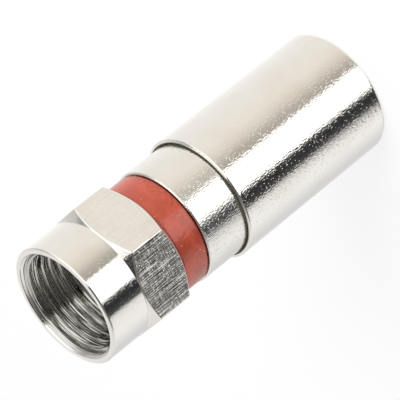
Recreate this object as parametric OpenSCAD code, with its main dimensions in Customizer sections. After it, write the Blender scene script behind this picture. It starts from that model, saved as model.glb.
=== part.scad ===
// Compression coaxial connector with a swivel coupling nut.
// The axis is Z: the sleeve's rear face lies on Z = 0 and the nut's mouth is at the top.

/* [Coupling thread] */
// Major diameter of the 3/8-32 thread
thread_major_d = 9.525; // [9.4:0.005:9.7]
// Depth of the countersink at the mouth
mouth_chamfer = 0.16; // [0.1:0.01:0.3]
// Radial depth of the relief behind the thread
relief_depth = 0.16; // [0.05:0.01:0.3]

/* [Coupling nut] */
// Wall between the thread and the hexagon's flats, which makes it 11 across flats
nut_wall = 0.7375; // [0.7:0.0025:1.5]
// Wall of the round nose in front of the hexagon
nose_wall = 0.6875; // [0.6:0.0025:0.75]
// Overall length of the nut
nut_len = 8.2; // [7:0.05:10]
// Length of the round nose, up to the chamfer of the hexagon
nose_len = 3.8; // [2:0.05:5]
// Slope of the chamfer that runs from the nose to the corners
nut_front_slope = 32; // [15:1:45]
// Slope of the chamfer at the rear corners
nut_rear_slope = 35; // [15:1:45]
// Width of flat face left between that chamfer and the flats' middle
nut_rear_land = 0.05; // [0:0.01:0.3]
// Rounding of the nose's front edge
nose_round = 0.15; // [0.05:0.01:0.4]
// Thickness of the inward flange that the post holds
nut_flange_t = 1; // [0.6:0.05:1.5]

/* [Inner post] */
// Bore that takes the cable's dielectric
post_bore_d = 4.8; // [4.4:0.05:5.2]
// Wall of the thin tube
post_wall = 0.3; // [0.2:0.05:0.4]
// Height of the barb above the tube
barb_height = 0.35; // [0.15:0.05:0.5]
// Length of the barb's tapered tip
barb_len = 1.3; // [0.8:0.1:2]
// Thickness that the shank adds to the tube
shank_step = 0.5; // [0.4:0.05:0.6]
// Radial height of the flange that traps the nut
post_flange_h = 1.05; // [0.8:0.05:1.1]
// Thickness of that flange
post_flange_t = 1; // [0.5:0.05:1.5]
// Gap from the post's rear tip to the ferrule's nose
post_tip_gap = 0.4; // [0.2:0.05:1]

/* [Grip ferrule] */
// Room for braid and jacket between the barb and the ferrule's bore
jacket_room = 0.75; // [0.6:0.05:1]
// Wall of the ferrule's nose
nose_tube_t = 0.4; // [0.3:0.05:0.5]
// Wall of the nose at its tapered tip
nose_tip_t = 0.22; // [0.1:0.02:0.3]
// Length of the nose's tapered tip
nose_taper_len = 0.7; // [0.3:0.1:1.2]
// How far the nose already sits in the body's chamber
nose_entry = 0.6; // [0.3:0.1:1.5]
// Wall of the ferrule's head, which is held in the sleeve
ferrule_head_t = 0.78; // [0.65:0.01:0.95]
// Length of the ferrule's head
ferrule_head_len = 3.7; // [2.5:0.1:5]

/* [Body] */
// Wall of the barrel around its chamber
barrel_wall = 0.95; // [0.75:0.05:1]
// Thickness of the web that the post is pressed into
web_len = 4.65; // [3.5:0.05:6]
// How far the neck stops short of the nut's rear face
neck_setback = 0.3; // [0.2:0.05:0.6]
// Chamfer on the edge beside the marker ring
barrel_front_chamfer = 0.1; // [0.05:0.01:0.2]
// Chamfers at the rear end of the barrel
barrel_rear_chamfer = 0.25; // [0.1:0.05:0.35]

/* [Marker ring] */
// How far the ring lies below the barrel's surface
marker_step = 0.15; // [0:0.01:0.3]
// Radial thickness of the ring
marker_t = 0.94; // [0.7:0.02:1.2]
// Width of the ring
marker_len = 2.8; // [2:0.05:4]
// Rounding of its outer edges
marker_round = 0.28; // [0.1:0.02:0.5]

/* [Compression sleeve] */
// Wall of the sleeve over the barrel
sleeve_wall = 0.38; // [0.3:0.02:0.6]
// Length of the sleeve
sleeve_len = 16.45; // [14:0.05:20]
// Stroke from loose to fully pressed
sleeve_stroke = 4; // [3:0.1:5]
// Width of barrel still uncovered when the sleeve is home
home_band = 0.23; // [0.2:0.01:1]
// Thickness of the sleeve's lip around the wider mouth
lip_wall = 0.23; // [0.18:0.01:0.28]
// Depth of the wider mouth
mouth_len = 1.5; // [0.8:0.1:2.5]
// Rounding of the lip's outer edge
lip_round = 0.14; // [0.05:0.01:0.16]
// Rounding of the rear outer edge
sleeve_rear_round = 0.4; // [0.2:0.05:0.8]
// Thickness of the inward flange at the rear
sleeve_flange_t = 0.7; // [0.4:0.05:1.2]
// Radial step from the cable entry to the ferrule's bore
entry_step = 0.3; // [0.2:0.01:0.5]
// Chamfer of the cable entry
entry_chamfer = 0.3; // [0.1:0.05:0.4]

/* [Seals] */
// Section of the seal behind the nut
nut_seal_t = 0.75; // [0.5:0.05:0.9]
// Radial room around that seal in the nut's recess
recess_room = 0.3; // [0.1:0.05:0.4]
// Depth of the barrel's groove for the sleeve's seal
seal_groove_depth = 0.5; // [0.3:0.05:0.55]
// Width of that groove
seal_groove_w = 0.8; // [0.75:0.05:1.2]
// Distance from the barrel's rear end to the middle of that groove
seal_groove_z = 4; // [2:0.1:6]
// Length of the seal in that groove
sleeve_seal_len = 0.68; // [0.5:0.02:0.7]

/* [Clearances] */
// Radial gap of the nut on the post
nut_running_gap = 0.06; // [0.02:0.01:0.09]
// Axial play of the nut on each side
nut_play = 0.12; // [0.05:0.01:0.3]
// Radial gap of the sleeve on the barrel
sleeve_running_gap = 0.05; // [0.02:0.01:0.09]
// Radial gap between the sleeve and its seal
seal_gap = 0.03; // [0.01:0.005:0.05]
// Radial gap of the ferrule's nose in the chamber
nose_gap = 0.1; // [0.05:0.01:0.2]
// Radial gap of parts that are pressed or seated
seat_gap = 0.01; // [0.005:0.005:0.03]
// Axial gap left at the end of the stroke
stop_gap = 0.1; // [0.05:0.01:0.3]
// Breaks of the edges inside
edge_break = 0.12; // [0.05:0.01:0.15]

/* [Hidden] */
$fn = 96;
over = 0.5;

// Radii of the nut
thread_r = thread_major_d / 2;
relief_r = thread_r + relief_depth;
flat_r = thread_r + nut_wall;
corner_r = flat_r / cos(30);
nose_r = thread_r + nose_wall;

// Radii of the post, then outwards through the ferrule and the barrel to the sleeve
post_bore_r = post_bore_d / 2;
tube_r = post_bore_r + post_wall;
barb_r = tube_r + barb_height;
shank_r = tube_r + shank_step;
post_flange_r = shank_r + post_flange_h;
ferrule_bore_r = barb_r + jacket_room;
ferrule_nose_r = ferrule_bore_r + nose_tube_t;
ferrule_head_r = ferrule_bore_r + ferrule_head_t;
chamber_r = ferrule_nose_r + nose_gap;
barrel_r = chamber_r + barrel_wall;
marker_r = barrel_r - marker_step;
neck_r = marker_r - marker_t - seat_gap;
groove_r = barrel_r - seal_groove_depth;
sleeve_bore_r = barrel_r + sleeve_running_gap;
sleeve_r = sleeve_bore_r + sleeve_wall;
mouth_r = sleeve_r - lip_wall;
ferrule_seat_r = ferrule_head_r + seat_gap;
entry_r = ferrule_bore_r + entry_step;

// Heights, from the sleeve's rear face upwards
ferrule_head_z = sleeve_flange_t + ferrule_head_len;
seat_top_z = ferrule_head_z + stop_gap;
barrel_rear_z = seat_top_z + sleeve_stroke + stop_gap;
ferrule_tip_z = barrel_rear_z + nose_entry;
post_rear_z = ferrule_tip_z + post_tip_gap;
groove_z = barrel_rear_z + seal_groove_z;
barrel_front_z = sleeve_len + sleeve_stroke + home_band;
marker_front_z = barrel_front_z + marker_len;
nut_rear_z = marker_front_z + nut_play;
nut_front_z = nut_rear_z + nut_len;
neck_front_z = nut_rear_z - neck_setback;
web_rear_z = neck_front_z - web_len;
nut_flange_z = neck_front_z + nut_seal_t + nut_play;
post_flange_z = nut_flange_z + nut_flange_t + nut_play;
post_front_z = post_flange_z + post_flange_t;
thread_end_z = post_front_z + nut_play;

// Square corner block with a quarter circle taken out of it, to round a corner at the origin
module corner(r) {
    difference() {
        translate([-r, -r]) square(r + over);
        translate([-r, -r]) circle(r);
    }
}

// Rounds the outer top corner at [x, y] of a profile
module round_top(x, y, r) {
    difference() {
        children();
        translate([x, y]) corner(r);
    }
}

// Rounds the outer bottom corner at [x, y] of a profile
module round_bottom(x, y, r) {
    difference() {
        children();
        translate([x, y]) mirror([0, 1]) corner(r);
    }
}

// Section of a ring seal, round but squeezed flat to w by h; its lower inner corner is at [x, y]
module seal_section(x, y, w, h) {
    bulge = 0.04;
    translate([x + w / 2, y + h / 2])
        intersection() {
            square([w, h], center = true);
            circle(max(w, h) * (0.5 + bulge));
        }
}

// Outline of the nut as if it were turned from a round bar
module nut_turned_profile() {
    rear_r = flat_r - nut_rear_land;
    outer_r = corner_r + over;
    shoulder_z = nut_front_z - nose_len;
    round_top(nose_r, nut_front_z, nose_round)
        polygon([
            [0, nut_rear_z],
            [rear_r, nut_rear_z],
            [outer_r, nut_rear_z + (outer_r - rear_r) * tan(nut_rear_slope)],
            [outer_r, shoulder_z - (outer_r - nose_r) * tan(nut_front_slope)],
            [nose_r, shoulder_z],
            [nose_r, nut_front_z],
            [0, nut_front_z]
        ]);
}

// Everything that is bored out of the nut
module nut_bore_profile() {
    flange_bore_r = shank_r + nut_running_gap;
    recess_r = shank_r + nut_seal_t + recess_room;
    polygon([
        [0, nut_rear_z - over],
        [recess_r, nut_rear_z - over],
        [recess_r, nut_flange_z],
        [flange_bore_r, nut_flange_z],
        [flange_bore_r, nut_flange_z + nut_flange_t],
        [relief_r, nut_flange_z + nut_flange_t],
        [relief_r, thread_end_z - relief_depth],
        [thread_r, thread_end_z],
        [thread_r, nut_front_z - mouth_chamfer],
        [thread_r + mouth_chamfer, nut_front_z],
        [thread_r + mouth_chamfer, nut_front_z + over],
        [0, nut_front_z + over]
    ]);
}

// Hexagonal nut with a round nose; one corner faces -Y
module coupling_nut() {
    color([0.79, 0.77, 0.73])
        difference() {
            intersection() {
                translate([0, 0, nut_rear_z])
                    rotate([0, 0, 30])
                    cylinder(h = nut_len, r = corner_r, $fn = 6);
                rotate_extrude() nut_turned_profile();
            }
            rotate_extrude() nut_bore_profile();
        }
}

// Flanged tube that traps the nut and slides under the braid
module inner_post() {
    barb_z = post_rear_z + barb_len;
    color([0.74, 0.72, 0.68])
        rotate_extrude()
        polygon([
            [post_bore_r, post_rear_z + edge_break],
            [post_bore_r + edge_break, post_rear_z],
            [tube_r - edge_break / 2, post_rear_z],
            [barb_r, barb_z],
            [barb_r, barb_z + edge_break],
            [tube_r, barb_z + edge_break + barb_height / 2],
            [tube_r, web_rear_z - shank_step],
            [shank_r - edge_break, web_rear_z],
            [shank_r - seat_gap, web_rear_z + edge_break],
            [shank_r - seat_gap, neck_front_z],
            [shank_r, neck_front_z],
            [shank_r, post_flange_z],
            [post_flange_r - edge_break, post_flange_z],
            [post_flange_r, post_flange_z + edge_break],
            [post_flange_r, post_front_z - edge_break],
            [post_flange_r - edge_break, post_front_z],
            [post_bore_r + edge_break, post_front_z],
            [post_bore_r, post_front_z - edge_break]
        ]);
}

// Rubber ring between the nut's flange and the body's neck
module nut_seal() {
    color([0.1, 0.1, 0.1])
        rotate_extrude()
        seal_section(shank_r + seat_gap, neck_front_z, nut_seal_t, nut_seal_t);
}

// Coloured plastic ring on the neck
module marker_ring() {
    color([0.78, 0.24, 0.16])
        rotate_extrude()
        round_top(marker_r, marker_front_z, marker_round)
        round_bottom(marker_r, barrel_front_z, marker_round)
        translate([marker_r - marker_t, barrel_front_z]) square([marker_t, marker_len]);
}

// Half section of the body: neck, web, and barrel with its chamber
module body_profile() {
    polygon([
        [chamber_r + barrel_rear_chamfer, barrel_rear_z],
        [barrel_r - barrel_rear_chamfer, barrel_rear_z],
        [barrel_r, barrel_rear_z + barrel_rear_chamfer],
        [barrel_r, barrel_front_z - barrel_front_chamfer],
        [barrel_r - barrel_front_chamfer, barrel_front_z],
        [neck_r, barrel_front_z],
        [neck_r, neck_front_z - edge_break],
        [neck_r - edge_break, neck_front_z],
        [shank_r, neck_front_z],
        [shank_r, web_rear_z],
        [chamber_r, web_rear_z],
        [chamber_r, barrel_rear_z + barrel_rear_chamfer]
    ]);
}

// Turned body, with the groove for the sleeve's seal
module connector_body() {
    color([0.79, 0.77, 0.73])
        rotate_extrude()
        difference() {
            body_profile();
            translate([groove_r, groove_z - seal_groove_w / 2])
                square([seal_groove_depth + over, seal_groove_w]);
        }
}

// Rubber ring in the barrel's groove, which holds the loose sleeve by friction
module sleeve_seal() {
    seal_in_r = groove_r + seat_gap;
    seal_out_r = sleeve_bore_r - seal_gap;
    color([0.1, 0.1, 0.1])
        rotate_extrude()
        seal_section(seal_in_r, groove_z - sleeve_seal_len / 2, seal_out_r - seal_in_r, sleeve_seal_len);
}

// Half section of the sleeve
module sleeve_profile() {
    mouth_z = sleeve_len - mouth_len;
    round_top(sleeve_r, sleeve_len, lip_round)
    round_bottom(sleeve_r, 0, sleeve_rear_round)
        polygon([
            [entry_r + entry_chamfer, 0],
            [sleeve_r, 0],
            [sleeve_r, sleeve_len],
            [mouth_r, sleeve_len],
            [mouth_r, mouth_z],
            [sleeve_bore_r, mouth_z - (mouth_r - sleeve_bore_r)],
            [sleeve_bore_r, seat_top_z],
            [ferrule_seat_r + edge_break, seat_top_z],
            [ferrule_seat_r, seat_top_z - edge_break],
            [ferrule_seat_r, sleeve_flange_t],
            [entry_r, sleeve_flange_t],
            [entry_r, entry_chamfer]
        ]);
}

// Sleeve that is pressed forward over the barrel to grip the cable
module compression_sleeve() {
    color([0.79, 0.77, 0.73])
        rotate_extrude() sleeve_profile();
}

// Plastic ferrule that travels with the sleeve and wedges in the chamber
module grip_ferrule() {
    color([0.9, 0.89, 0.85])
        rotate_extrude()
        polygon([
            [ferrule_bore_r + edge_break, sleeve_flange_t],
            [ferrule_head_r - edge_break, sleeve_flange_t],
            [ferrule_head_r, sleeve_flange_t + edge_break],
            [ferrule_head_r, ferrule_head_z - edge_break],
            [ferrule_head_r - edge_break, ferrule_head_z],
            [ferrule_nose_r, ferrule_head_z],
            [ferrule_nose_r, ferrule_tip_z - nose_taper_len],
            [ferrule_bore_r + nose_tip_t, ferrule_tip_z],
            [ferrule_bore_r, ferrule_tip_z],
            [ferrule_bore_r, sleeve_flange_t + edge_break]
        ]);
}

coupling_nut();
inner_post();
nut_seal();
marker_ring();
connector_body();
sleeve_seal();
compression_sleeve();
grip_ferrule();
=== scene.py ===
import math

import bmesh
import bpy
import numpy as np
from mathutils import Matrix, Vector


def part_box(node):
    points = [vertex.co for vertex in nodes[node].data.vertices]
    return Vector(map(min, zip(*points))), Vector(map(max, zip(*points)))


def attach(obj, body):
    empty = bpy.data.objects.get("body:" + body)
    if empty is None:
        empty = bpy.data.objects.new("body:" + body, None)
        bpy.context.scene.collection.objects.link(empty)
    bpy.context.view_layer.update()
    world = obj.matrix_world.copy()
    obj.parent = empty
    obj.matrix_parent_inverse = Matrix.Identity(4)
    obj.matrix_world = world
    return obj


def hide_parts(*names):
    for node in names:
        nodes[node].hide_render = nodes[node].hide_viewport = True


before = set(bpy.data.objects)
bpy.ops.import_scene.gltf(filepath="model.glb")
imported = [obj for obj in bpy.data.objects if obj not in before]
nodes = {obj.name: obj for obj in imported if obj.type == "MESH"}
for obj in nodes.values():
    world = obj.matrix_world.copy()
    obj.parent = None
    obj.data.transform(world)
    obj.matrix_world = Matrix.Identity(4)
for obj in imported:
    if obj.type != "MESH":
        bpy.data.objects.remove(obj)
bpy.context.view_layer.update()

mm = 0.001
nutLow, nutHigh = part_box("coupling_nut")


# Adds a node: inputs that are sockets are linked, the others are set
def addNode(tree, kind, inputs=None, **settings):
    node = tree.nodes.new(kind)
    for key, value in settings.items():
        setattr(node, key, value)
    for key, value in (inputs or {}).items():
        if isinstance(value, bpy.types.NodeSocket):
            tree.links.new(value, node.inputs[key])
        else:
            node.inputs[key].default_value = value
    return node


def mathNode(tree, operation, *values):
    inputs = dict(enumerate(values))
    return addNode(tree, "ShaderNodeMath", inputs, operation=operation).outputs[0]


def mapNode(tree, value, low, high, toLow=0.0, toHigh=1.0):
    node = addNode(tree, "ShaderNodeMapRange", {
        "Value": value, "From Min": low, "From Max": high, "To Min": toLow, "To Max": toHigh,
    }, interpolation_type="SMOOTHSTEP")
    return node.outputs[0]


def splitNode(tree, vector):
    return addNode(tree, "ShaderNodeSeparateXYZ", {0: vector}).outputs


def joinNode(tree, x, y, z=0.0):
    return addNode(tree, "ShaderNodeCombineXYZ", {"X": x, "Y": y, "Z": z}).outputs[0]


# Distance from the Z axis
def radiusNode(tree, place):
    across = mathNode(tree, "MULTIPLY", place["X"], place["X"])
    deep = mathNode(tree, "MULTIPLY", place["Y"], place["Y"])
    return mathNode(tree, "SQRT", mathNode(tree, "ADD", across, deep))


# The direction at a bearing, in degrees from -Y towards +X, and an elevation
def towards(bearing, elevation):
    a, e = math.radians(bearing), math.radians(elevation)
    return Vector((math.sin(a) * math.cos(e), -math.cos(a) * math.cos(e), math.sin(e)))


def newMaterial(name):
    material = bpy.data.materials.new(name)
    material.use_nodes = True
    material.node_tree.nodes.clear()
    return material, material.node_tree


def ownPlace(tree):
    return addNode(tree, "ShaderNodeTexCoord").outputs["Object"]


# Patterns take their scale in cells to the metre along each axis
def scaledNode(tree, place, scale):
    return addNode(tree, "ShaderNodeMapping", {"Vector": place, "Scale": scale}).outputs[0]


def noiseNode(tree, place, scale, detail=0.0):
    return addNode(tree, "ShaderNodeTexNoise", {
        "Vector": scaledNode(tree, place, scale), "Scale": 1.0, "Detail": detail,
    }).outputs[0]


# Round specks in a share of the cells
def speckNode(tree, place, scale, size, share):
    cells = addNode(tree, "ShaderNodeTexVoronoi", {
        "Vector": scaledNode(tree, place, scale), "Scale": 1.0,
    })
    speck = mapNode(tree, cells.outputs["Distance"], *size)
    chosen = addNode(tree, "ShaderNodeSeparateColor", {0: cells.outputs["Color"]}).outputs[0]
    return mathNode(tree, "MULTIPLY", speck, mapNode(tree, chosen, *share))


def mixColour(tree, share, first, second):
    return addNode(tree, "ShaderNodeMix", {0: share, 6: first, 7: second},
                   data_type="RGBA").outputs[2]


# Ends a material: the height becomes bump, the rest goes on the shader's own sockets
def finishMaterial(tree, height, values):
    bump = addNode(tree, "ShaderNodeBump", {"Height": height, "Distance": 1.0, "Strength": 1.0})
    shader = addNode(tree, "ShaderNodeBsdfPrincipled", {**values, "Normal": bump.outputs[0]})
    addNode(tree, "ShaderNodeOutputMaterial", {"Surface": shader.outputs[0]})


nickel = {
    "colour": (0.82, 0.795, 0.75, 1),
    "stain": (0.80, 0.765, 0.715, 1),
    "stainScale": (450, 450, 300),
    "stainRange": (0.42, 0.68),
    "roughness": 0.055,
    "bodyRoughness": 0.20,
    "flatRoughness": 0.10,
    "grainScale": (9000, 9000, 4000),
    "grainHeight": 0.009 * mm,
    "speckScale": (9000, 9000, 4500),
    "speckSize": (0.34, 0.10),
    "speckShare": (0.45, 0.55),
    "speckHeight": 0.007 * mm,
    "drawnScale": (15000, 15000, 450),          # marks along the nut's flats
    "crossScale": (450, 450, 14000),            # and across them
    "flatGrainHeight": 0.021 * mm,
    "flatSpeck": 0.5,
    "flatRadius": (5.46 * mm, 5.49 * mm),       # the flats lie beyond this
    "flatTilt": (0.3, 0.1),                     # and are upright
    "coarse": 1.4,                              # body
    "plain": 1.0,                               # sleeve
    "fine": 0.35,                               # nut and post
}


# Nickel plate with a fine grain and specks, and drawn marks where flatGrain is given
def nickelMaterial(name, coarseness, roughness, flatGrain=0.0):
    material, tree = newMaterial(name)
    here = ownPlace(tree)
    grain = noiseNode(tree, here, nickel["grainScale"])
    grain = mathNode(tree, "MULTIPLY", grain, nickel["grainHeight"] * coarseness)
    speck = speckNode(tree, here, nickel["speckScale"], nickel["speckSize"], nickel["speckShare"])
    raised = mathNode(tree, "MULTIPLY", speck, nickel["speckHeight"] * coarseness)
    height = mathNode(tree, "ADD", grain, raised)
    if flatGrain:
        normal = addNode(tree, "ShaderNodeNewGeometry").outputs["Normal"]
        tilt = mathNode(tree, "ABSOLUTE", splitNode(tree, normal)["Z"])
        upright = mapNode(tree, tilt, *nickel["flatTilt"])
        radius = radiusNode(tree, splitNode(tree, here))
        onFlat = mathNode(tree, "MULTIPLY", upright, mapNode(tree, radius, *nickel["flatRadius"]))
        drawn = noiseNode(tree, here, nickel["drawnScale"])
        cross = noiseNode(tree, here, nickel["crossScale"])
        specks = mathNode(tree, "MULTIPLY", speck, nickel["flatSpeck"])
        marks = mathNode(tree, "ADD", mathNode(tree, "ADD", drawn, cross), specks)
        marks = mathNode(tree, "MULTIPLY", mathNode(tree, "MULTIPLY", marks, onFlat), flatGrain)
        height = mathNode(tree, "ADD", height, marks)
        roughness = mapNode(tree, onFlat, 0.0, 1.0, roughness, nickel["flatRoughness"])
    stain = noiseNode(tree, here, nickel["stainScale"], 2.0)
    stain = mapNode(tree, stain, *nickel["stainRange"])
    finishMaterial(tree, height, {
        "Base Color": mixColour(tree, stain, nickel["colour"], nickel["stain"]),
        "Metallic": 1.0,
        "Roughness": roughness,
    })
    return material


thread = {
    "pitch": 0.79375,           # 32 to the inch
    "rotations": 7.2,
    "topGap": -0.335,
    "endGap": 0.03,             # what the ridge stays below the mouth
    "wallRadius": 4.80,         # a little behind the bore's wall
    "crestRadius": 4.45,
    "crestWidth": 0.04,
    "crestRound": 0.04,
    "rootWidth": 0.64,
    "rootSink": 0.07,           # how far its root lies behind the countersink
    "mouthInset": 0.055,
    "steps": 144,
    # painted shade: darker than the outside nickel, for the shade inside the bore
    "colour": (0.56, 0.55, 0.51, 1),
    "roughness": 0.10,
    "ringScale": (130, 130, 5000),
    "ringHeight": 0.27 * mm,
}


# The bore is duller than the outside, with fine turning marks; its darker colour is painted shade
# inside the bore
def boreMaterial():
    material, tree = newMaterial("shadedBoredPlate")
    rings = noiseNode(tree, ownPlace(tree), thread["ringScale"], 2.0)
    finishMaterial(tree, mathNode(tree, "MULTIPLY", rings, thread["ringHeight"]), {
        "Base Color": thread["colour"],
        "Metallic": 1.0,
        "Roughness": thread["roughness"],
    })
    return material


marker = {
    "colour": (0.45, 0.058, 0.022, 1),
    "shade": (0.36, 0.045, 0.018, 1),
    "shadeScale": (500, 500, 900),
    "shadeRange": (0.35, 0.65),
    # painted shade at both edges of the ring
    "paintedEdgeShade": (0.24, 0.030, 0.013, 1),
    "paintedEdgeShare": 0.6,
    "paintedEdgeWidth": 0.5 * mm,
    # darker, mottled colour towards the rear edge
    "rearDark": (0.16, 0.022, 0.012, 1),
    "rearDarkShare": 0.4,
    "rearDarkScale": (3200, 3200, 3200),
    "rearDarkRange": (0.46, 0.62),
    "rearDarkStart": 0.3 * mm,         # above the ring's middle
    "rearDarkFull": 0.4 * mm,          # above its rear edge
    "dust": (0.85, 0.62, 0.55, 1),
    "dustScale": (3500, 3500, 3500),
    "dustSize": (0.18, 0.08),
    "dustShare": (0.90, 0.94),
    "roughness": 0.26,
    "specular": 0.75,
    "waveScale": (2500, 2500, 2500),
    "waveHeight": 0.035 * mm,
}


# Moulded plastic: uneven in colour, painted shade darkening both edges, darker and mottled
# towards the rear, and some dust
def markerMaterial():
    material, tree = newMaterial("markerPlastic")
    here = ownPlace(tree)
    height = splitNode(tree, here)["Z"]
    rearEdge, frontEdge = (corner[2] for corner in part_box("marker_ring"))
    middle, reach = (rearEdge + frontEdge) / 2, (frontEdge - rearEdge) / 2
    shade = noiseNode(tree, here, marker["shadeScale"], 5.0)
    shade = mapNode(tree, shade, *marker["shadeRange"])
    tone = mixColour(tree, shade, marker["colour"], marker["shade"])
    # painted shade: the colour darkens towards both edges, where the ring's rounded form turns
    # from the light
    away = mathNode(tree, "ABSOLUTE", mathNode(tree, "SUBTRACT", height, middle))
    edge = mapNode(tree, away, reach - marker["paintedEdgeWidth"], reach)
    edge = mathNode(tree, "MULTIPLY", edge, marker["paintedEdgeShare"])
    tone = mixColour(tree, edge, tone, marker["paintedEdgeShade"])
    # darker, mottled colour towards the rear edge
    rear = mapNode(tree, height, middle + marker["rearDarkStart"], rearEdge + marker["rearDarkFull"])
    rearDark = noiseNode(tree, here, marker["rearDarkScale"], 4.0)
    rearDark = mathNode(tree, "MULTIPLY", rear, mapNode(tree, rearDark, *marker["rearDarkRange"]))
    rearDark = mathNode(tree, "MULTIPLY", rearDark, marker["rearDarkShare"])
    tone = mixColour(tree, rearDark, tone, marker["rearDark"])
    dust = speckNode(tree, here, marker["dustScale"], marker["dustSize"], marker["dustShare"])
    wave = noiseNode(tree, here, marker["waveScale"], 2.0)
    finishMaterial(tree, mathNode(tree, "MULTIPLY", wave, marker["waveHeight"]), {
        "Base Color": mixColour(tree, dust, tone, marker["dust"]),
        "Roughness": marker["roughness"],
        "Specular IOR Level": marker["specular"],
    })
    return material


seals = {
    "colour": (0.018, 0.018, 0.019, 1),
    "shade": (0.030, 0.030, 0.031, 1),
    "roughness": 0.55,
    "grainHeight": 0.008 * mm,
}

ferrule = {
    "colour": (0.80, 0.79, 0.74, 1),
    "shade": (0.72, 0.70, 0.64, 1),
    "roughness": 0.45,
    "grainHeight": 0.004 * mm,
}

softPattern = {
    "mottleScale": (900, 900, 900),
    "mottleRange": (0.35, 0.65),
    "grainScale": (12000, 12000, 12000),
}


# Rubber or natural plastic, a little mottled, from a piece's own values
def softMaterial(name, values):
    material, tree = newMaterial(name)
    here = ownPlace(tree)
    mottle = noiseNode(tree, here, softPattern["mottleScale"], 2.0)
    mottle = mapNode(tree, mottle, *softPattern["mottleRange"])
    grain = noiseNode(tree, here, softPattern["grainScale"], 1.0)
    finishMaterial(tree, mathNode(tree, "MULTIPLY", grain, values["grainHeight"]), {
        "Base Color": mixColour(tree, mottle, values["colour"], values["shade"]),
        "Roughness": values["roughness"],
    })
    return material


plate = nickelMaterial("nickelPlate", nickel["plain"], nickel["roughness"])
postPlate = nickelMaterial("postPlate", nickel["fine"], nickel["roughness"])
bodyPlate = nickelMaterial("bodyPlate", nickel["coarse"], nickel["bodyRoughness"])
hexPlate = nickelMaterial("hexPlate", nickel["fine"], nickel["roughness"],
                          nickel["flatGrainHeight"])
shadedBorePlate = boreMaterial()
rubber = softMaterial("sealRubber", seals)
finishes = {
    "coupling_nut": plate,
    "inner_post": postPlate,
    "connector_body": bodyPlate,
    "compression_sleeve": plate,
    "marker_ring": markerMaterial(),
    "nut_seal": rubber,
    "sleeve_seal": rubber,
    "grip_ferrule": softMaterial("ferrulePlastic", ferrule),
}
for name, material in finishes.items():
    mesh = nodes[name].data
    mesh.materials.clear()
    mesh.materials.append(material)
print("finishes made,", len(finishes), "solids coated")


def newTree(name, inputs, takesGeometry=False):
    tree = bpy.data.node_groups.new(name, "GeometryNodeTree")
    face = tree.interface
    if takesGeometry:
        face.new_socket("Geometry", in_out="INPUT", socket_type="NodeSocketGeometry")
    for label, kind in inputs.items():
        face.new_socket(label, in_out="INPUT", socket_type="NodeSocket" + kind)
    face.new_socket("Geometry", in_out="OUTPUT", socket_type="NodeSocketGeometry")
    return tree, addNode(tree, "NodeGroupInput").outputs


def finishTree(tree, geometry, material):
    whole = addNode(tree, "GeometryNodeRealizeInstances", {0: geometry})
    coated = addNode(tree, "GeometryNodeSetMaterial", {
        "Geometry": whole.outputs[0], "Material": material,
    })
    addNode(tree, "NodeGroupOutput", {0: coated.outputs[0]})


def moveNode(tree, geometry, place):
    return addNode(tree, "GeometryNodeSetPosition", {
        "Geometry": geometry, "Position": place,
    }).outputs[0]


def smoothNode(tree, geometry):
    return addNode(tree, "GeometryNodeSetShadeSmooth", {
        "Geometry": geometry, "Shade Smooth": True,
    }).outputs[0]


# A section of four corners, as outward distance and downward distance from the curve
def sectionNode(tree, corners):
    section = addNode(tree, "GeometryNodeCurvePrimitiveQuadrilateral", mode="POINTS")
    for number, (x, y) in enumerate(corners, 1):
        tree.links.new(joinNode(tree, x, y), section.inputs["Point " + str(number)])
    return section.outputs[0]


def sweepNode(tree, curve, section, caps=False):
    upright = addNode(tree, "GeometryNodeSetCurveNormal", {"Curve": curve}, mode="Z_UP")
    return addNode(tree, "GeometryNodeCurveToMesh", {
        "Curve": upright.outputs[0], "Profile Curve": section, "Fill Caps": caps,
    }).outputs[0]


# Runs a tree once on a guide mesh and keeps the result as a plain mesh
def growPiece(name, tree, values, points=(), edges=()):
    guide = bpy.data.meshes.new(name + "Guide")
    guide.from_pydata(list(points), list(edges), [])
    piece = bpy.data.objects.new(name, guide)
    bpy.context.scene.collection.objects.link(piece)
    modifier = piece.modifiers.new(name, "NODES")
    modifier.node_group = tree
    for item in tree.interface.items_tree:
        if item.in_out == "INPUT" and item.name in values:
            modifier[item.identifier] = values[item.name]
    evaluated = piece.evaluated_get(bpy.context.evaluated_depsgraph_get())
    mesh = bpy.data.meshes.new_from_object(evaluated)
    piece.modifiers.remove(modifier)
    piece.data = mesh
    bpy.data.meshes.remove(guide)
    return piece


def faceOut(piece):
    shape = bmesh.new()
    shape.from_mesh(piece.data)
    bmesh.ops.recalc_face_normals(shape, faces=shape.faces)
    shape.to_mesh(piece.data)
    shape.free()


# Coupling nut: radii, and heights above its rear face, in mm
nut = {
    "flatRadius": 5.5,          # half the size across flats
    "noseRadius": 5.45,
    "noseLength": 3.8,
    "noseRound": 0.15,
    "frontSlope": 32.0,         # chamfers at the corners, degrees
    "rearSlope": 35.0,
    "rearInset": 0.05,          # where the rear chamfer starts inside the flats
    "edgeSoftness": 0.16,
    "mouthRadius": 5.0,
    "mouthDepth": 0.24,
    "boreRadius": 4.7625,
    "boreLook": 4.85,           # faces inside this radius are duller, with painted shade in their colour
    "threadEnd": 2.81,
    "reliefRadius": 4.9225,
    "reliefSlope": 0.16,
    "flangeFront": 1.57,
    "flangeRear": 0.57,
    "runningRadius": 3.26,
    "recessRadius": 4.25,
    "turningStock": 0.3,        # what is turned beyond the corners, then cut
    "segments": 432,
    "fineStep": 0.05,
    "arcStep": 11,              # degrees
    "guardGap": 0.03,           # points that hold the shading at both ends of a line
    "guardFrom": 0.12,          # for lines longer than this
}


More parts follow.
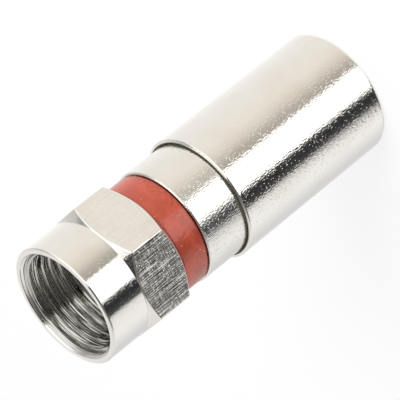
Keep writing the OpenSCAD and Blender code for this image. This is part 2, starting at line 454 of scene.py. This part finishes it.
# Points along one rounded corner, each with whether the line after it is finely cut
def roundCorner(before, corner, after, rounding, fine):
    toBack = (before - corner) / np.linalg.norm(before - corner)
    toNext = (after - corner) / np.linalg.norm(after - corner)
    bend = math.acos(max(-1, min(1, float(-toBack @ toNext))))
    reach = rounding * math.tan(bend / 2)
    inward = (toBack + toNext) / np.linalg.norm(toBack + toNext)
    middle = corner + inward * rounding / math.cos(bend / 2)
    first = corner + toBack * reach - middle
    last = corner + toNext * reach - middle
    steps = max(3, round(math.degrees(bend) / nut["arcStep"]))
    points = []
    for step in range(steps + 1):
        share = step / steps
        weights = math.sin((1 - share) * bend), math.sin(share * bend)
        spot = middle + (first * weights[0] + last * weights[1]) / math.sin(bend)
        points.append((spot, fine and step == steps))
    return points


# Turns corners of (radius, height, rounding, fine) into a closed line of points
def dressProfile(corners):
    places = [np.array(corner[:2]) for corner in corners]
    points = []
    for number, (_, _, rounding, fine) in enumerate(corners):
        corner = places[number]
        after = places[(number + 1) % len(places)]
        if rounding > 0:
            points += roundCorner(places[number - 1], corner, after, rounding, fine)
        else:
            points.append((corner, fine))
    line = []
    for number, (here, fine) in enumerate(points):
        ahead = points[(number + 1) % len(points)][0]
        length = float(np.linalg.norm(ahead - here))
        line.append(here)
        if fine:
            steps = int(length / nut["fineStep"])
            line += [here + (ahead - here) * step / steps for step in range(1, steps)]
        elif length > nut["guardFrom"]:
            gap = (ahead - here) * nut["guardGap"] / length
            line += [here + gap, ahead - gap]
    return line


def nutProfile():
    rear, front = nutLow[2] / mm, nutHigh[2] / mm
    flat, nose, bore = nut["flatRadius"], nut["noseRadius"], nut["boreRadius"]
    relief, running, recess = nut["reliefRadius"], nut["runningRadius"], nut["recessRadius"]
    outer = flat / math.cos(math.radians(30)) + nut["turningStock"]
    rearRise = (outer - flat + nut["rearInset"]) * math.tan(math.radians(nut["rearSlope"]))
    frontFall = (outer - nose) * math.tan(math.radians(nut["frontSlope"]))
    shoulder = front - nut["noseLength"]
    flangeRear, flangeFront = rear + nut["flangeRear"], rear + nut["flangeFront"]
    threadEnd = rear + nut["threadEnd"]
    return dressProfile([
        (recess, rear, 0.05, False),
        (flat - nut["rearInset"], rear, 0.06, True),
        (outer, rear + rearRise, 0, False),
        (outer, shoulder - frontFall, 0, True),
        (nose, shoulder, 0.06, False),
        (nose, front, nut["noseRound"], False),
        (nut["mouthRadius"], front, 0.07, False),
        (bore, front - nut["mouthDepth"], 0.05, False),
        (bore, threadEnd, 0, False),
        (relief, threadEnd - nut["reliefSlope"], 0, False),
        (relief, flangeFront, 0.08, False),
        (running, flangeFront, 0.05, False),
        (running, flangeRear, 0.05, False),
        (recess, flangeRear, 0.08, False),
    ])


# Turns the guide line about Z, then cuts what lies outside the hexagon
def nutTree():
    tree, given = newTree("nutTurning", {
        "Segments": "Int", "Flat Radius": "Float", "Nose Radius": "Float",
        "Edge Softness": "Float", "Material": "Material",
    }, takesGeometry=True)
    guide = given["Geometry"]
    rows = addNode(tree, "GeometryNodeAttributeDomainSize", {0: guide}).outputs["Point Count"]
    rowsClosed = mathNode(tree, "ADD", rows, 1)
    grid = addNode(tree, "GeometryNodeMeshGrid", {
        "Vertices X": mathNode(tree, "ADD", given["Segments"], 1), "Vertices Y": rowsClosed,
    })
    index = addNode(tree, "GeometryNodeInputIndex").outputs[0]
    column = mathNode(tree, "DIVIDE", mathNode(tree, "ADD", index, 0.25), rowsClosed)
    column = mathNode(tree, "FLOOR", column)
    row = mathNode(tree, "SUBTRACT", index, mathNode(tree, "MULTIPLY", column, rowsClosed))
    spot = addNode(tree, "GeometryNodeSampleIndex", {
        "Geometry": guide,
        "Value": addNode(tree, "GeometryNodeInputPosition").outputs[0],
        "Index": mathNode(tree, "FLOORED_MODULO", row, rows),
    }, data_type="FLOAT_VECTOR")
    guidePlace = splitNode(tree, spot.outputs[0])
    turned = guidePlace["X"]
    angle = mathNode(tree, "DIVIDE", column, given["Segments"])
    angle = mathNode(tree, "MULTIPLY", angle, 2 * math.pi)
    sixth = math.radians(60)

    # the distance to this flat and to the next one, blended at the corner
    local = mathNode(tree, "FLOORED_MODULO", mathNode(tree, "ADD", angle, sixth / 2), sixth)
    local = mathNode(tree, "ABSOLUTE", mathNode(tree, "SUBTRACT", local, sixth / 2))
    nearFlat = mathNode(tree, "DIVIDE", given["Flat Radius"], mathNode(tree, "COSINE", local))
    beyond = mathNode(tree, "COSINE", mathNode(tree, "SUBTRACT", sixth, local))
    nextFlat = mathNode(tree, "DIVIDE", given["Flat Radius"], beyond)
    hexagon = mathNode(tree, "SMOOTH_MIN", nearFlat, nextFlat, given["Edge Softness"])
    cut = mathNode(tree, "SMOOTH_MIN", turned, hexagon, given["Edge Softness"])
    margin = mathNode(tree, "ADD", given["Nose Radius"], 1e-6)
    isOuter = mathNode(tree, "GREATER_THAN", turned, margin)
    change = mathNode(tree, "MULTIPLY", isOuter, mathNode(tree, "SUBTRACT", cut, turned))
    radius = mathNode(tree, "ADD", turned, change)
    place = joinNode(
        tree,
        mathNode(tree, "MULTIPLY", radius, mathNode(tree, "COSINE", angle)),
        mathNode(tree, "MULTIPLY", radius, mathNode(tree, "SINE", angle)),
        guidePlace["Z"],
    )
    shaped = moveNode(tree, grid.outputs["Mesh"], place)
    sealed = addNode(tree, "GeometryNodeMergeByDistance", {"Geometry": shaped, "Distance": 1e-7})
    finishTree(tree, smoothNode(tree, sealed.outputs[0]), given["Material"])
    return tree


def makeNut():
    points = [(r * mm, 0, z * mm) for r, z in nutProfile()]
    edges = [(place, (place + 1) % len(points)) for place in range(len(points))]
    piece = growPiece("hexNut", nutTree(), {
        "Segments": nut["segments"],
        "Flat Radius": nut["flatRadius"] * mm,
        "Nose Radius": nut["noseRadius"] * mm,
        "Edge Softness": nut["edgeSoftness"] * mm,
        "Material": hexPlate,
    }, points, edges)
    piece.data.materials.clear()
    piece.data.materials.append(hexPlate)
    piece.data.materials.append(shadedBorePlate)
    for face in piece.data.polygons:
        x, y, _ = face.center
        face.material_index = int(math.hypot(x, y) < nut["boreLook"] * mm)
    faceOut(piece)
    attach(piece, "nut")
    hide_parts("coupling_nut")
    print("coupling nut made,", len(piece.data.polygons), "faces")


makeNut()


# A ridge that winds up the bore and fades out in the countersink
def threadTree():
    tree, given = newTree("portThread", {
        "Pitch": "Float", "Rotations": "Float", "Start Height": "Float", "Wall Radius": "Float",
        "Crest Radius": "Float", "Crest Width": "Float", "Crest Round": "Float",
        "Root Width": "Float", "Mouth Height": "Float", "Mouth Radius": "Float",
        "Steps": "Int", "Material": "Material",
    })
    wall, mouth = given["Wall Radius"], given["Mouth Height"]
    spiral = addNode(tree, "GeometryNodeCurveSpiral", {
        "Resolution": given["Steps"],
        "Rotations": given["Rotations"],
        "Start Radius": wall,
        "End Radius": wall,
        "Height": mathNode(tree, "MULTIPLY", given["Pitch"], given["Rotations"]),
        "Reverse": True,
    })
    depth = mathNode(tree, "SUBTRACT", given["Crest Radius"], wall)
    halfRoot = mathNode(tree, "MULTIPLY", given["Root Width"], 0.5)
    halfCrest = mathNode(tree, "MULTIPLY", given["Crest Width"], 0.5)
    section = sectionNode(tree, [
        (0.0, mathNode(tree, "MULTIPLY", halfRoot, -1.0)),
        (depth, mathNode(tree, "MULTIPLY", halfCrest, -1.0)),
        (depth, halfCrest),
        (0.0, halfRoot),
    ])
    rounded = addNode(tree, "GeometryNodeFilletCurve", {
        "Curve": section, "Radius": given["Crest Round"], "Count": 4,
    }, mode="POLY")
    ridge = sweepNode(tree, spiral.outputs[0], rounded.outputs[0], caps=True)
    here = splitNode(tree, addNode(tree, "GeometryNodeInputPosition").outputs[0])
    radius = radiusNode(tree, here)
    highest = mathNode(tree, "SUBTRACT", mouth, thread["endGap"] * mm)
    height = mathNode(tree, "ADD", here["Z"], given["Start Height"])
    height = mathNode(tree, "MINIMUM", height, highest)

    # the countersink's cone, with the root a little behind it
    behind = mathNode(tree, "DIVIDE", mathNode(tree, "SUBTRACT", radius, wall), depth)
    behind = mathNode(tree, "SUBTRACT", 1.0, behind)
    behind = mathNode(tree, "MULTIPLY", behind, thread["rootSink"] * mm)
    cone = mathNode(tree, "ADD", given["Mouth Radius"], behind)
    cone = mathNode(tree, "SUBTRACT", cone, mathNode(tree, "SUBTRACT", mouth, height))
    grow = mathNode(tree, "DIVIDE", mathNode(tree, "MAXIMUM", radius, cone), radius)
    place = joinNode(
        tree,
        mathNode(tree, "MULTIPLY", here["X"], grow),
        mathNode(tree, "MULTIPLY", here["Y"], grow),
        height,
    )
    finishTree(tree, smoothNode(tree, moveNode(tree, ridge, place)), given["Material"])
    return tree


def makeThread():
    t = thread
    piece = growPiece("threadRidge", threadTree(), {
        "Pitch": t["pitch"] * mm,
        "Rotations": t["rotations"],
        "Start Height": nutHigh[2] - (t["rotations"] * t["pitch"] + t["topGap"]) * mm,
        "Wall Radius": t["wallRadius"] * mm,
        "Crest Radius": t["crestRadius"] * mm,
        "Crest Width": t["crestWidth"] * mm,
        "Crest Round": t["crestRound"] * mm,
        "Root Width": t["rootWidth"] * mm,
        "Mouth Height": nutHigh[2],
        "Mouth Radius": (nut["mouthRadius"] - t["mouthInset"]) * mm,
        "Steps": t["steps"],
        "Material": shadedBorePlate,
    })
    faceOut(piece)
    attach(piece, "nut")
    print("port thread made,", len(piece.data.polygons), "faces")


makeThread()

# Painted shade: a dull dark ring in the sleeve's mouth, in mm
gapShade = {
    "outerRadius": 5.47,        # a little inside the lip's wall
    "innerRadius": 5.262,
    "sink": 0.05,               # below the lip, at its own outer edge
    "innerSink": 0.12,          # and at its inner edge
    "depth": 0.4,
    "segments": 256,
    # painted shade colour for the lip's gap
    "colour": (0.13, 0.125, 0.08, 1),
    "shade": (0.08, 0.075, 0.05, 1),
    "roughness": 0.4,
    "grainHeight": 0.004 * mm,
}


# A dull dark ring that closes the gap between the sleeve's lip and the barrel: painted shade in
# that gap
def beadTree():
    tree, given = newTree("paintedGapShade", {
        "Outer Radius": "Float", "Inner Radius": "Float", "Top": "Float", "Inner Top": "Float",
        "Bottom": "Float", "Segments": "Int", "Material": "Material",
    })
    circle = addNode(tree, "GeometryNodeCurvePrimitiveCircle", {
        "Resolution": given["Segments"], "Radius": given["Outer Radius"],
    })
    inward = mathNode(tree, "SUBTRACT", given["Inner Radius"], given["Outer Radius"])
    corners = [(0.0, "Bottom"), (inward, "Bottom"), (inward, "Inner Top"), (0.0, "Top")]
    section = sectionNode(tree, [
        (x, mathNode(tree, "MULTIPLY", given[height], -1.0)) for x, height in corners
    ])
    finishTree(tree, sweepNode(tree, circle.outputs[0], section), given["Material"])
    return tree


def makeBead():
    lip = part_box("compression_sleeve")[1][2]
    piece = growPiece("paintedGapShade", beadTree(), {
        "Outer Radius": gapShade["outerRadius"] * mm,
        "Inner Radius": gapShade["innerRadius"] * mm,
        "Top": lip - gapShade["sink"] * mm,
        "Inner Top": lip - gapShade["innerSink"] * mm,
        "Bottom": lip - gapShade["depth"] * mm,
        "Segments": gapShade["segments"],
        "Material": softMaterial("gapShadeFinish", gapShade),
    })
    faceOut(piece)
    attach(piece, "sleeve")
    print("mouth bead made,", len(piece.data.polygons), "faces")


makeBead()

ground = {
    "size": 3.0,
    "colour": (0.9, 0.9, 0.9, 1),
    "whiteShare": 0.75,
}


def makeFloor():
    mesh = bpy.data.meshes.new("floor")
    half = ground["size"] / 2
    corners = [(-half, -half, 0), (half, -half, 0), (half, half, 0), (-half, half, 0)]
    mesh.from_pydata(corners, [], [(0, 1, 2, 3)])
    floor = bpy.data.objects.new("floor", mesh)
    bpy.context.scene.collection.objects.link(floor)
    material, tree = newMaterial("paleFloor")
    lightPath = addNode(tree, "ShaderNodeLightPath")
    dull = addNode(tree, "ShaderNodeBsdfDiffuse", {"Color": ground["colour"]})
    white = addNode(tree, "ShaderNodeEmission", {"Color": (1, 1, 1, 1), "Strength": 1.0})
    share = mathNode(tree, "MULTIPLY", lightPath.outputs["Is Camera Ray"], ground["whiteShare"])
    mixed = addNode(tree, "ShaderNodeMixShader", {
        0: share, 1: dull.outputs[0], 2: white.outputs[0],
    })
    addNode(tree, "ShaderNodeOutputMaterial", {"Surface": mixed.outputs[0]})
    mesh.materials.append(material)
    floor.visible_glossy = False


makeFloor()

# What polished metal sees around it: bearing in degrees from -Y towards +X, level, warmth
studio = {
    "bands": [
        (-180, 0.88, 0), (-166, 0.80, 0), (-152, 0.75, -0.1), (-136, 0.78, -0.2),
        (-120, 0.90, -0.1), (-100, 1.06, -0.1), (-80, 1.02, 0), (-69, 0.94, 0), (-65, 0.66, 0),
        (-61, 0.08, -0.6), (-48, 0.03, -0.6), (-37, 0.07, -0.6), (-30.8, 1.8, 0), (7, 1.9, 0),
        (12, 0.46, 0.8), (24, 0.58, 1), (32, 0.75, 1), (40, 0.87, 0.9), (56, 0.98, 0.7),
        (88, 0.99, 0.35), (120, 1.02, 0.2), (136, 1.04, 0.1), (152, 1.08, 0), (168, 1.1, 0),
        (180, 0.95, 0),
    ],
    "sky": [
        (-180, 0.95, 0), (-154, 0.8, 0), (-130, 0.95, 0), (-105, 0.9, 0), (-88, 0.7, 0),
        (-72, 0.28, 0), (-45, 0.18, 0), (-10, 0.10, 0), (2, 0.08, 0), (8, 1.35, 0),
        (88, 1.35, 0), (98, 0.7, 0), (105, 0.5, 0), (125, 0.6, 0), (145, 0.82, 0),
        (165, 0.9, 0), (180, 0.95, 0),
    ],
    "skyBlend": (-0.15, 0.1),       # heights on the unit sphere between bands and sky
    # bearing, elevation, inner and outer radius in degrees, level
    "patches": [
        (112, 68, 12, 18, 1.4), (129, 47, 3, 8, 0.4), (-115, 76, 13, 16, 0.06),
        (-70, -46, 9, 16, 0.1), (-70, -10, 8, 17, 0.1),
    ],
    "warmest": (1.0, 0.94, 0.85),
    "daylight": 0.8,
}


def tinted(level, warmth):
    return tuple(level * (1 + (warm - 1) * warmth) for warm in studio["warmest"]) + (1,)


def bearingRamp(tree, turn, levels):
    ramp = addNode(tree, "ShaderNodeValToRGB", {0: turn})
    stops = ramp.color_ramp.elements
    for place, (angle, level, warmth) in enumerate(levels):
        at = angle / 360 + 0.5
        stop = stops[place] if place < 2 else stops.new(at)
        stop.position = at
        stop.color = tinted(level, warmth)
    return ramp.outputs[0]


def makeWorld():
    world = bpy.data.worlds.new("studio")
    world.use_nodes = True
    tree = world.node_tree
    tree.nodes.clear()
    direction = addNode(tree, "ShaderNodeTexCoord").outputs["Generated"]
    ray = splitNode(tree, direction)
    front = mathNode(tree, "MULTIPLY", ray["Y"], -1.0)
    angle = mathNode(tree, "ARCTAN2", ray["X"], front)
    turn = mathNode(tree, "MULTIPLY_ADD", angle, 0.5 / math.pi, 0.5)
    above = mapNode(tree, ray["Z"], *studio["skyBlend"])
    bands, sky = (bearingRamp(tree, turn, studio[part]) for part in ("bands", "sky"))
    tone = mixColour(tree, above, bands, sky)
    for bearing, elevation, inner, outer, level in studio["patches"]:
        facing = addNode(tree, "ShaderNodeVectorMath", {
            0: direction, 1: towards(bearing, elevation),
        }, operation="DOT_PRODUCT").outputs["Value"]
        low, high = math.cos(math.radians(outer)), math.cos(math.radians(inner))
        tone = mixColour(tree, mapNode(tree, facing, low, high), tone, tinted(level, 0))
    metal = addNode(tree, "ShaderNodeBackground", {0: tone, 1: 1.0})
    day = addNode(tree, "ShaderNodeBackground", {0: (1, 1, 1, 1), 1: studio["daylight"]})
    white = addNode(tree, "ShaderNodeBackground", {0: (1, 1, 1, 1), 1: 1.0})
    lightPath = addNode(tree, "ShaderNodeLightPath").outputs
    glossy = addNode(tree, "ShaderNodeMixShader", {
        0: lightPath["Is Glossy Ray"], 1: day.outputs[0], 2: metal.outputs[0],
    })
    seen = addNode(tree, "ShaderNodeMixShader", {
        0: lightPath["Is Camera Ray"], 1: glossy.outputs[0], 2: white.outputs[0],
    })
    addNode(tree, "ShaderNodeOutputWorld", {0: seen.outputs[0]})
    world.cycles.sampling_method = "NONE"
    bpy.context.scene.world = world


makeWorld()

keyLight = {
    "bearing": 46,
    "elevation": 40,
    "distance": 0.4,
    "size": 0.3,
    "watts": 1.1,
}


def makeKeyLight():
    light = bpy.data.lights.new("keyLight", "AREA")
    light.shape = "DISK"
    light.size = keyLight["size"]
    light.energy = keyLight["watts"]
    lamp = bpy.data.objects.new("keyLight", light)
    bpy.context.scene.collection.objects.link(lamp)
    back = towards(keyLight["bearing"], keyLight["elevation"])
    lamp.location = back * keyLight["distance"]
    lamp.rotation_mode = "QUATERNION"
    lamp.rotation_quaternion = back.to_track_quat("Z", "Y")
    lamp.visible_glossy = False


makeKeyLight()
print("stage made: floor, surroundings and key light")

view = {
    "bearing": 0.0,
    "elevation": 28.94,
    "roll": 128.625,
    "distance": 241.58 * mm,
    "lens": 270.0,
    "sensor": 36.0,
    "aim": (0.0, 0.0, 16.6 * mm),
    "slide": (0.188 * mm, 0.039 * mm),      # to the right and up in the frame
}


def makeCamera():
    data = bpy.data.cameras.new("camera")
    data.lens = view["lens"]
    data.sensor_width = view["sensor"]
    data.clip_start = 0.01
    data.clip_end = 20.0
    camera = bpy.data.objects.new("camera", data)
    bpy.context.scene.collection.objects.link(camera)
    back = towards(view["bearing"], view["elevation"])
    level = back.to_track_quat("Z", "Y").to_matrix()
    rolled = level @ Matrix.Rotation(math.radians(-view["roll"]), 3, "Z")
    right, up = rolled.col[0], rolled.col[1]
    aim = Vector(view["aim"]) + right * view["slide"][0] + up * view["slide"][1]
    spot = aim + back * view["distance"]
    camera.matrix_world = Matrix.LocRotScale(spot, rolled.to_quaternion(), None)
    bpy.context.scene.camera = camera


makeCamera()
bpy.context.scene.view_settings.view_transform = "Standard"
print("camera placed")
